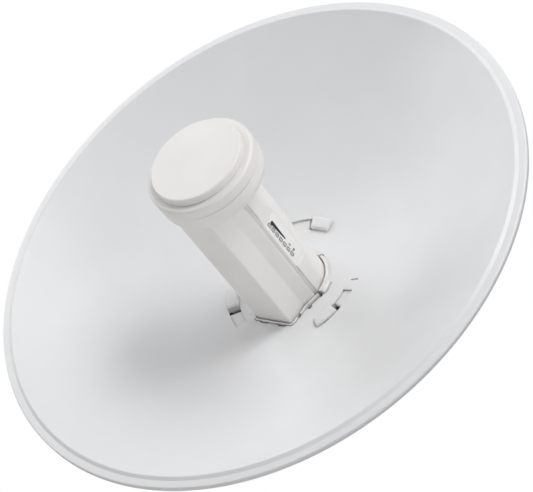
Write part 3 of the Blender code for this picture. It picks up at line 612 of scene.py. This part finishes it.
# the outline that the feed fills in the hub, widened: an arc over the top, then the rounded box corners
def hubLoop(width, count=90):
    start = math.atan2(-0.0066, 0.0249)
    angles = np.linspace(start, math.pi - start, count)[1:-1]
    arc = np.stack([np.cos(angles), np.sin(angles)], axis=1)
    corners = np.array(feedLook["hubCorners"])
    side = corners[1:] - corners[:-1]
    side /= np.linalg.norm(side, axis=1, keepdims=True)
    leaving = np.array([[math.sin(start), -math.cos(start)]])
    arriving = np.array([[-math.sin(start), math.cos(start)]])
    into, out = np.concatenate([leaving, side]), np.concatenate([side, arriving])
    spots, normals = filletCorners(corners, into, out, [0, 0.001, 0.0015, 0.0015, 0.001, 0], 4)
    spots = np.concatenate([arc * feedLook["hubArc"], spots])
    normals = np.concatenate([arc, normals])
    spots, normals = denseLoop(spots, normals, 0.0007)
    return spots + normals * width, normals


# an outline's points in degrees from the right, its left side folded over to its right
def foldedPolar(spots):
    return np.degrees(np.arctan2(spots[:, 1], np.abs(spots[:, 0])))


# the outline moved out by a width read from (degrees, width) pairs
def spreadLoop(pairs):
    spots, normals = hubLoop(0.0)
    spots, normals = denseLoop(spots, normals, 0.0003)
    degrees, widths = zip(*pairs)
    return spots + normals * np.interp(foldedPolar(spots), degrees, widths)[:, None], normals


# radius of an outline at given clockwise angles, read off between its own points in polar form
def outlineRadius(spots, degrees):
    angle = np.degrees(np.arctan2(spots[:, 0], spots[:, 1])) % 360
    order = np.argsort(angle)
    radius = np.hypot(spots[:, 0], spots[:, 1])
    return np.interp(degrees % 360, angle[order], radius[order], period=360)


# rows from the hub's outline through rings of growing radius to the rolled rim, columns clockwise round the dish
def makeDish():
    look = dishLook
    slotBreaks = [(120 * k + look[e]) % 360 for k in range(3) for e in ("slotStart", "slotEnd")]
    half = math.degrees(look["slitWidth"] / 2 / look["slitInner"])
    slitBreaks = [look["slitAngle"] - half, look["slitAngle"] + half]
    angles = stations([0.0, 360.0, *slotBreaks, *slitBreaks], look["angleStep"])[:-1]
    first = 0.0445
    rings = stations(
        [first, look["slotInner"], look["slitInner"], look["slotOuter"], look["slitOuter"], 0.060], 0.0016,
    )
    outer = stations([0.060, look["crest"] - 0.0016], look["radiusStep"])[1:]
    crest = look["crest"]
    high, flange, edge = bowl(crest), look["flange"], look["radius"]
    rim = filletPath(
        [(crest - 0.0016, bowl(crest - 0.0016)), (crest + 0.0003, high + 0.0004), (crest + 0.0030, flange),
         (edge, flange), (edge, flange - look["wall"])],
        [0, 0.0013, 0.0007, 0.0012, 0], 5,
    )[1:]
    hub = outlineRadius(spreadLoop(holeSpread)[0], angles)
    blend = np.linspace(0.0, 1.0, 6)[:-1, None]
    inner = hub[None] + (first - hub[None]) * blend
    radius = np.concatenate([inner, np.broadcast_to(np.concatenate([rings, outer])[:, None], (len(rings) + len(outer), len(angles)))])
    height = bowl(radius)
    radius = np.concatenate([radius, np.broadcast_to(rim[:, :1], (len(rim), len(angles)))])
    height = np.concatenate([height, np.broadcast_to(rim[:, 1:], (len(rim), len(angles)))])
    turn = np.radians(angles)[None]
    points = toRow(radius * np.sin(turn), radius * np.cos(turn), height)
    middle = (angles + np.roll(np.append(angles[1:], 360.0), 0)) / 2
    centre = (radius[1:, 0] + radius[:-1, 0]) / 2
    centre[:5] = 0.040
    inSlotRing = (centre > look["slotInner"]) & (centre < look["slotOuter"])
    inSlotTurn = ((middle[None] - look["slotStart"]) % 120) < (look["slotEnd"] - look["slotStart"])
    inSlitRing = (centre > look["slitInner"]) & (centre < look["slitOuter"])
    inSlitTurn = np.abs(middle - look["slitAngle"])[None] < half
    kept = ~((inSlotRing[:, None] & inSlotTurn) | (inSlitRing[:, None] & inSlitTurn))
    dish = makePiece("dishBowl", [(points, False, True, kept)], "powderCoat", "dish_head", ["dish_reflector"], 40)
    # the grid's faces look forwards, so the sheet grows behind them
    shell = dish.modifiers.new("sheet", "SOLIDIFY")
    shell.thickness = look["sheet"]
    shell.offset = -1.0
    soft = dish.modifiers.new("softEdges", "BEVEL")
    soft.width = 0.0003
    soft.segments = 2
    soft.limit_method = "ANGLE"
    soft.angle_limit = math.radians(50)
    return dish


makeDish()
print("dish is made")


# the head's turned pieces: base, cap rim and raised disc, as heights over the vertex and radii
headLook = {
    "radius": 0.0412, "skirt": 0.1257, "seam": 0.1393, "top": 0.1486, "disc": 0.0355, "discTop": 0.1542,
    "gap": 0.0003,
}


def makeHead():
    look = headLook
    r, seam, top, gap = look["radius"], look["seam"], look["top"], look["gap"]
    base = filletPath(
        [(0.0, seam - gap), (r - 0.0004, seam - gap), (r - 0.0004, look["skirt"] + 0.0045),
         (r - 0.0022, look["skirt"]), (feedLook["radius"] + 0.0015, feedLook["top"] + gap), (0.0, feedLook["top"] + gap)],
        [0, 0.0004, 0.006, 0.0016, 0.002, 0], 8,
    )
    rim = filletPath(
        [(0.0, top), (r, top), (r, seam + gap / 2), (0.0, seam + gap / 2)], [0, 0.0024, 0.0005, 0], 8,
    )
    disc = filletPath(
        [(0.0, look["discTop"] + 0.00025), (look["disc"] - 0.004, look["discTop"]), (look["disc"] - 0.0004, look["discTop"]),
         (look["disc"] + 0.0002, top + gap), (0.0, top + gap)],
        [0, 0.03, 0.0013, 0, 0], 8,
    )
    makePiece("feedHeadBase", [(turnedGrid(base), False, True, None)], "feedPlastic", "dish_head", ["feed_head_base"])
    makePiece("feedCapRim", [(turnedGrid(rim), False, True, None)], "feedPlastic", "dish_head", ["feed_cap_rim"])
    makePiece("feedCapDisc", [(turnedGrid(disc), False, True, None)], "feedPlastic", "dish_head", ["feed_cap_disc"])


makeHead()
print("feed head is made")

# lock ring: a band behind the sheet, and three lugs that come up through its slots and lie over it
lockLook = {
    "inner": 0.0432, "outer": 0.060, "behind": 0.0016, "thick": 0.0042,
    "lugStart": -8.7, "lugEnd": 11.0, "notchStart": -13.3, "neckEnd": 5.5,
    "rise": 0.0033, "margin": 0.0004, "corner": 0.0012, "edge": 0.0018,
}

# collar: a raised lip round the feed's foot, as (degrees from the right, inner offset, outer offset, top)
collarLook = {
    "low": -0.0100, "edge": 0.0005,
    "rows": [
        (-90, 0.0008, 0.0020, 0.0040), (-68, 0.0008, 0.0020, 0.0040), (-59.4, 0.0012, 0.0021, 0.0040),
        (-59.2, 0.0012, 0.0021, -0.0040), (-55.4, 0.0012, 0.0021, -0.0040), (-55.2, 0.0013, 0.0021, 0.0040),
        (-15.4, 0.0013, 0.0021, 0.0041), (-15, 0.0012, 0.0021, -0.0040), (-11, 0.0009, 0.0021, -0.0040),
        (-10.6, 0.0003, 0.0024, 0.0042), (6, 0.00015, 0.00235, 0.0042), (61.5, 0.00015, 0.00235, 0.0042),
        (61.8, 0.0003, 0.0022, -0.0040), (67.6, 0.0003, 0.0022, -0.0040), (67.9, 0.00040, 0.0020, 0.0030),
        (90, 0.00040, 0.0018, 0.0026),
    ],
    "blockTurn": (-10.3, 8.5), "blockReach": (0.0276, 0.0313), "blockTop": 0.0041,
}


# a point of a plate on the sheet: arc length and radius become a place over the bowl, at a height above it
def overBowl(turn, length, radius, rise):
    angle = math.radians(turn) + length / 0.050
    return toRow(radius * np.sin(angle), radius * np.cos(angle), bowl(radius) + rise)


def makeLockRing():
    look = lockLook
    turns = [120 * k for k in range(3)]
    marks = [(t + look[e]) % 360 for t in turns for e in ("notchStart", "lugStart")]
    angles = stations([0.0, 360.0, *marks], 2.0)[:-1]
    low, high = dishLook["slotInner"] - look["margin"], dishLook["slotOuter"] + look["margin"]
    radius = stations([look["inner"], low, high, look["outer"]], 0.0025)[:, None]
    turn = np.radians(angles)[None]
    band = toRow(radius * np.sin(turn), radius * np.cos(turn), bowl(radius) - look["behind"] + 0 * turn)
    middle = (angles + np.append(angles[1:], 360.0)) / 2
    centre = (radius[1:, 0] + radius[:-1, 0]) / 2
    inRing = (centre > low) & (centre < high)
    inTurn = ((middle - look["notchStart"]) % 120) < (look["lugStart"] - look["notchStart"])
    kept = ~(inRing[:, None] & inTurn[None])
    ring = makePiece("lockRing", [(band, False, True, kept)], "ringPlastic", "dish_head", ["lock_ring"])
    shell = ring.modifiers.new("band", "SOLIDIFY")
    shell.thickness = look["thick"]
    shell.offset = -1.0
    per = 0.050 * math.pi / 180
    lugs = []
    for t in turns:
        for start, end, inset, levels in (
            (look["lugStart"], look["lugEnd"], 0.0,
             np.concatenate([[(0.0, look["margin"])], edgeLevels(look["rise"], look["edge"], 5)])),
            (look["lugStart"], look["neckEnd"], look["margin"], [(0.0, -0.0030), (0.0, look["rise"] / 2)]),
        ):
            spots, normals = roundedBox(
                (start * per, dishLook["slotInner"] + inset), (end * per, dishLook["slotOuter"] - inset), look["corner"],
            )
            spots, normals = denseLoop(spots, normals, 0.0012)
            rows = levelGrid(spots, normals, levels, lambda a, b, c: overBowl(t, a, b, c))
            lugs.append((rows, False, True))
    makePiece("lockLugs", lugs, "ringPlastic", "dish_head", (), 40)


# across the ring: up its inner wall, round its top edges and down its outer wall; along it: the feed's outline
def makeCollar():
    look = collarLook
    spots, normals = hubLoop(0.0)
    spots, normals = denseLoop(spots, normals, 0.0002)
    degrees, inner, outer, top = np.array(look["rows"]).T
    folded = foldedPolar(spots)
    a, b, high = (np.interp(folded, degrees, values) for values in (inner, outer, top))
    quarter = np.linspace(0.0, math.pi / 2, 5)
    edge, low = look["edge"], look["low"]
    bend, lift = edge * (1 - np.cos(quarter))[:, None], edge * (1 - np.sin(quarter))[:, None]
    offset = np.concatenate([a[None], a + bend, (b - bend)[::-1], b[None]])
    height = np.concatenate([0 * a[None] + low, high - lift, (high - lift)[::-1], 0 * a[None] + low])
    ring = spots[None] + normals[None] * offset[..., None]
    grids = [(toRow(ring[..., 0], ring[..., 1], height), True, True)]
    turns = np.radians(look["blockTurn"])
    for side in (1, -1):
        span = np.linspace(turns[0], turns[1], 14)
        near, far = look["blockReach"]
        arcs = [np.stack([r * np.cos(span), r * np.sin(span)], axis=1) for r in (near, far)]
        block, out = filletLoop(
            [arcs[0][0], arcs[1][0], arcs[1][4], arcs[1][9], arcs[1][-1], arcs[0][-1], arcs[0][9], arcs[0][4]],
            [0.0004, 0.0007, 0, 0, 0.0012, 0.0004, 0, 0],
        )
        block, out = denseLoop(block, out, 0.001)

        def place(x, z, rise):
            return toRow(side * x, z, rise)

        levels = [(0.0, look["low"]), *edgeLevels(look["blockTop"], 0.0007, 4)]
        grids.append((levelGrid(block, out, levels, place), False, True))
    makePiece("hubCollar", grids, "feedPlastic", "dish_head", ["housing_collar"], 35)


makeLockRing()
makeCollar()
print("lock ring and collar are made")


panelLook = {
    "floor": 0.0234, "low": 0.0332, "lowSlope": 0.0045, "high": 0.1010, "highSlope": 0.0150,
    "label": ((0.0382, -0.0056), (0.0850, 0.0078), 0.0006, 0.0001),
    "wedge": [(0.0600, 0.0014), (0.0818, -0.0003), (0.0818, 0.0026), (0.0600, 0.0021)],
    "lensCount": 7, "lensFirst": 0.0461, "lensPitch": 0.0059, "lensMiddle": -0.0017, "lensSize": (0.0049, 0.0027),
    "button": ((0.0455, 0.0004), (0.0478, 0.0026), 0.0009), "sign": ((0.0513, 0.0011), (0.0545, 0.0019), 0.0004),
}


# round half: an arc closed by a flat base with rounded corners; x is held back to a flat low on its side and to the
# panel's deeper flat, whose ends slope
def makeFeedShell():
    look = feedLook
    radius, line, small = look["radius"], look["grooveTop"][1] + 0.0003, 0.0005
    side = math.sqrt((radius - small) ** 2 - (line + small) ** 2)
    first = math.atan2(line + small, side)
    marks = [math.acos(reach / radius) for reach in (panelLook["floor"], look["flat"])]
    arc = stations([first, *marks, math.pi - first], math.radians(2.0))
    cornerRight = np.linspace(-math.pi / 2, first, 6)[:-1]
    cornerLeft = np.linspace(math.pi - first, 1.5 * math.pi, 6)[1:]
    angle = np.concatenate([cornerRight, arc, cornerLeft])
    size = np.concatenate([np.full(5, small), np.full(len(arc), radius), np.full(5, small)])
    middle = np.zeros((len(angle), 2))
    middle[:5] = (side, line + small)
    middle[-5:] = (-side, line + small)
    normals = np.stack([np.cos(angle), np.sin(angle)], axis=1)
    spots = middle + normals * size[:, None]
    p = panelLook
    heights = stations([p["low"], p["low"] + p["lowSlope"]], 0.00045)
    others = stations([p["high"] - p["highSlope"], p["high"]], 0.001)
    levels = np.concatenate([
        [(0.0004, look["foot"]), (0.0, look["foot"] + 0.0004), (0.0, 0.0)],
        np.stack([0 * heights, heights], axis=1), np.stack([0 * others, others], axis=1),
        [(0.0, look["top"] - 0.0003), (0.0003, look["top"])],
    ])

    def place(x, z, height):
        below = (p["low"] + p["lowSlope"] - height) / p["lowSlope"]
        above = (height - p["high"] + p["highSlope"]) / p["highSlope"]
        limit = p["floor"] + np.clip(np.maximum(below, above), 0.0, None) * (radius - p["floor"])
        limit = np.minimum(limit, look["flat"])
        return toRow(np.where(np.abs(z) < 0.012, np.minimum(x, limit), x), z, height)

    rows = levelGrid(spots, normals, levels, place, centre=(0.0, 0.008))
    makePiece("feedShell", [(rows, False, True)], "feedPlastic", "dish_head", ["feed_shell"], 25)


# box half: its outline with rounded corners and a groove under the shell, carried up to the head's conical underside;
# past the groove's end the floor comes out to the flare's line
def makeFeedCover():
    look = feedLook
    lip = look["grooveLip"]
    right = [(0.016, -0.035), (0.019, -0.019), lip, look["grooveFoot"], look["grooveTop"]]
    corners = right + [(-x, z) for x, z in reversed(right)]
    radii = [0.0016, 0.0012, 0.0006, 0.0005, 0.0002]
    spots, normals = filletLoop(corners, radii + radii[::-1], 6)
    spots, normals = denseLoop(spots, normals, 0.0020)
    foot, start = look["foot"], look["radius"] + 0.0015
    slope = (look["skirt"] - look["top"] - 0.0003) / (headLook["radius"] - 0.0032 - start)
    steps = np.linspace(0.93, 0.975, 16)
    parts = np.concatenate([
        [(0.0004, 0.0), (0.0, 0.0026), (0.0, 0.2), (0.0, 0.5), (0.0, 0.8)],
        np.stack([0 * steps, steps], axis=1), [(0.0, 0.998), (0.0002, 1.0)],
    ])

    def place(x, z, part):
        top = look["top"] + np.clip(np.hypot(x, z) - start, 0.0, None) * slope
        height = foot + (top - foot) * part
        ended = np.clip((height - look["grooveEnd"]) / 0.0022, 0.0, 1.0)
        ended = np.where(z > lip[1] - 0.0004, 1 - np.sqrt(1 - ended ** 2), 0.0)
        line = lip[0] + (z - lip[1]) * 0.1
        return toRow(x + np.sign(x) * np.clip(line - np.abs(x), 0.0, None) * ended * (np.abs(x) > 0.02), z, height)

    rows = levelGrid(spots, normals, parts, place, centre=(0.0, -0.015))
    makePiece("feedCover", [(rows, False, True)], "feedPlastic", "dish_head", ["feed_cover"], 25)


# plates on the panel: an outline along and across the feed, its levels standing out to the right
def panelGrid(spots, normals, levels, out):
    return levelGrid(spots, normals, levels, lambda along, across, rise: toRow(out + rise, across, along))


def makePanel():
    look = panelLook
    low, high, corner, rise = look["label"]
    out = look["floor"] + rise
    spots, normals = roundedBox(low, high, corner)
    grids = [(panelGrid(spots, normals, [(0.0, -0.0004), (0.0, -0.00005), (0.00005, 0.0)], out), False, True)]
    makePiece("statusLabel", grids, "labelFilm", "dish_head", ["led_panel"])
    spots, normals = filletLoop(look["wedge"], [0.0003, 0.0012, 0.0012, 0.0003])
    grids = [(panelGrid(spots, normals, [(0.0, -0.0002), *edgeLevels(0.0003, 0.0001, 3)], out), False, True)]
    makePiece("signalWedge", grids, "darkWindow", "dish_head", ["status_bar_window"])
    grids = []
    half, wide = look["lensSize"][0] / 2, look["lensSize"][1] / 2
    for k in range(look["lensCount"]):
        along, across = look["lensFirst"] + look["lensPitch"] * k, look["lensMiddle"]
        spots, normals = roundedBox((along - half, across - wide), (along + half, across + wide), 0.0011)
        frameLevels = [(0.0, -0.0002), (0.0, 0.00022), (0.0001, 0.0003), (0.0005, 0.0003), (0.00055, 0.0001)]
        grids.append((panelGrid(spots, normals, frameLevels, out), False, True, None, "lampFrame"))
        domed = [(0.00057, 0.0), (0.00059, 0.00012), (0.0008, 0.00022), (0.0010, 0.00026)]
        grids.append((panelGrid(spots, normals, domed, out), False, True, None, "lampLens"))
    lensNodes = [f"led_lens_{k + 1}" for k in range(look["lensCount"])]
    makePiece("statusLamps", grids, "lampLens", "dish_head", lensNodes)
    grids = []
    for name, paint in (("button", "lampFrame"), ("sign", "lampFrame")):
        start, end, corner = look[name]
        spots, normals = roundedBox(start, end, corner)
        levels = [(0.0, -0.0002), (0.0, 0.0002), (0.00012, 0.0003), (0.00035, 0.00024)]
        grids.append((panelGrid(spots, normals, levels, out), False, True, None, paint))
    makePiece("resetButton", grids, "darkWindow", "dish_head", ["reset_button"])


makeFeedShell()
makeFeedCover()
makePanel()
print("feed body and status panel are made")


housingLook = {
    "radius": 0.062, "back": -0.036, "ribs": 40, "ribDepth": 0.0008, "ribLow": -0.0315, "ribHigh": -0.0145,
    "socket": -0.0283, "floor": -0.0105,
}


# outer profile turned with a rounded tooth wave on its cone; in its front a groove for the lock ring, a moat round
# the collar and the feed's socket
def makeHousing():
    look = housingLook
    back, radius = look["back"], look["radius"]
    outer = filletPath(
        [(0.0, back), (0.0485, back), (0.0515, back + 0.002), (0.0532, -0.031), (0.0562, -0.024), (radius - 0.0030, -0.0135),
         (radius, -0.0105), (radius, bowl(radius) - 0.0018), (0.0606, bowl(0.0606) - 0.0018), (0.0606, look["floor"]),
         (0.0426, look["floor"]), (0.0426, bowl(0.0426) - 0.0018), (0.0419, bowl(0.0419) - 0.0018)],
        [0, 0.001, 0.002, 0.01, 0.01, 0.0012, 0.0012, 0.0006, 0.0003, 0, 0, 0.0003, 0], 5,
    )
    lengths = np.concatenate([[0.0], np.cumsum(np.linalg.norm(np.diff(outer, axis=0), axis=1))])
    even = np.unique(np.concatenate([np.arange(0.0, lengths[-1], 0.0013), lengths]))
    outer = np.stack([np.interp(even, lengths, outer[:, k]) for k in (0, 1)], axis=1)
    angles = np.arange(0.0, 360.0, 0.75)
    turn = np.radians(angles)[None]
    height = outer[:, 1][:, None] + 0 * turn
    inRibs = np.clip(np.minimum(height - look["ribLow"], look["ribHigh"] - height) / 0.0012, 0.0, 1.0)
    outside = outer[:, 0][:, None] > 0.052
    wave = np.clip(0.5 + 1.4 * np.cos(turn * look["ribs"]), 0.0, 1.0)
    reach = outer[:, 0][:, None] - look["ribDepth"] * wave * inRibs * outside
    moat = np.minimum(outlineRadius(hubLoop(0.0075)[0], angles), 0.0416)[None]
    hub = outlineRadius(hubLoop(0.0006)[0], angles)[None]
    radii = np.concatenate([reach, moat, moat, hub, hub, 0 * hub])
    floor, socket = look["floor"], look["socket"]
    tops = np.array([bowl(0.040) - 0.0018, floor, floor, socket, socket])[:, None] + 0 * turn
    tops[0] = bowl(moat[0]) - 0.0018
    height = np.concatenate([height, tops])
    points = toRow(radii * np.sin(turn), radii * np.cos(turn), height)
    makePiece("rearHousing", [(points, False, True)], "housingPlastic", "dish_head", ["rear_housing"], 30)


makeHousing()
print("housing is made")


floorMesh = bpy.data.meshes.new("studioFloor")
half, low = floorLook["half"], floorLook["height"]
floorMesh.from_pydata([(-half, -half, low), (half, -half, low), (half, half, low), (-half, half, low)], [], [(0, 1, 2, 3)])
studioFloor = bpy.data.objects.new("studioFloor", floorMesh)
scene.collection.objects.link(studioFloor)
floorPaint = bpy.data.materials.new("floorPaint")
floorPaint.use_nodes = True
floorPaint.node_tree.nodes["Principled BSDF"].inputs["Base Color"].default_value = (*floorLook["colour"], 1.0)
floorPaint.node_tree.nodes["Principled BSDF"].inputs["Roughness"].default_value = floorLook["roughness"]
floorMesh.materials.append(floorPaint)

print("studio floor is made")
